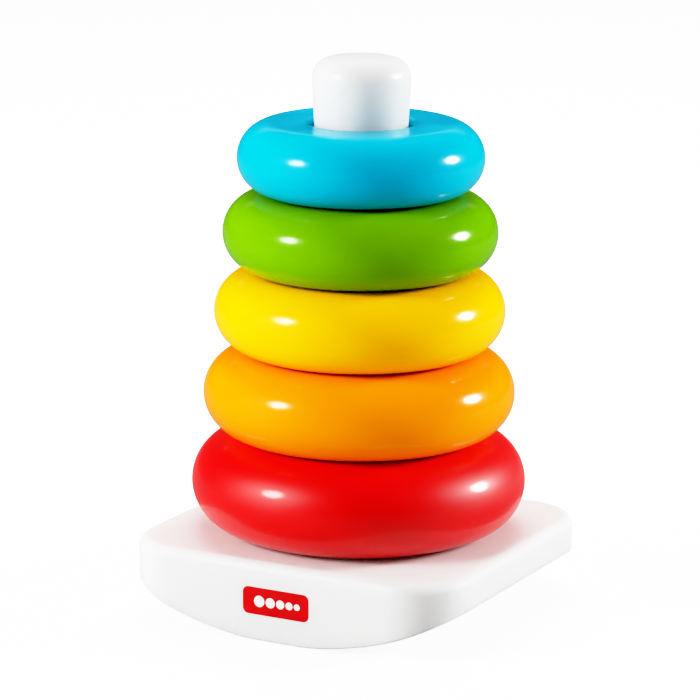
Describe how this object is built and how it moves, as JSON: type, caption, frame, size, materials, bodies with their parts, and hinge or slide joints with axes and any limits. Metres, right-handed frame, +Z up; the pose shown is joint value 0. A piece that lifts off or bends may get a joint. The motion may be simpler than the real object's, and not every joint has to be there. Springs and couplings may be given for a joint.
{
  "type": "stacking ring toy",
  "caption": "Stacking toy: hollow rings of falling size on a tapered post that stands on a squarish rocking base.",
  "frame": {"origin": "on the floor under the middle of the base, at the centre of the bounding box's bottom face", "axes": "+Z up along the post, -Y out of the base's long curved wall with the label, +X to the right seen from the front; the base rocks about Y"},
  "size_m": [0.1458, 0.1378, 0.2239],
  "materials": {
    "white_base": "satin white moulded plastic",
    "white_post": "glossy white blow-moulded plastic",
    "label_red": "printed film",
    "red": "glossy red blow-moulded plastic",
    "orange": "glossy orange blow-moulded plastic",
    "yellow": "glossy yellow blow-moulded plastic",
    "green": "glossy green blow-moulded plastic",
    "blue": "glossy sky blue blow-moulded plastic"
  },
  "bodies": {
    "stand": {"base_shell": "white_base", "base_bottom": "white_base", "post": "white_post", "front_label": "label_red"},
    "red_ring": {"red_ring": "red"},
    "orange_ring": {"orange_ring": "orange"},
    "yellow_ring": {"yellow_ring": "yellow"},
    "green_ring": {"green_ring": "green"},
    "blue_ring": {"blue_ring": "blue"}
  },
  "joints": [
    {"name": "red_lift", "type": "slide", "parent": "stand", "child": "red_ring", "axis": [0, 0, 1], "range_m": [0, 0.215]},
    {"name": "orange_lift", "type": "slide", "parent": "red_ring", "child": "orange_ring", "axis": [0, 0, 1], "range_m": [0, 0.18]},
    {"name": "yellow_lift", "type": "slide", "parent": "orange_ring", "child": "yellow_ring", "axis": [0, 0, 1], "range_m": [0, 0.145]},
    {"name": "green_lift", "type": "slide", "parent": "yellow_ring", "child": "green_ring", "axis": [0, 0, 1], "range_m": [0, 0.11]},
    {"name": "blue_lift", "type": "slide", "parent": "green_ring", "child": "blue_ring", "axis": [0, 0, 1], "range_m": [0, 0.08]}
  ]
}
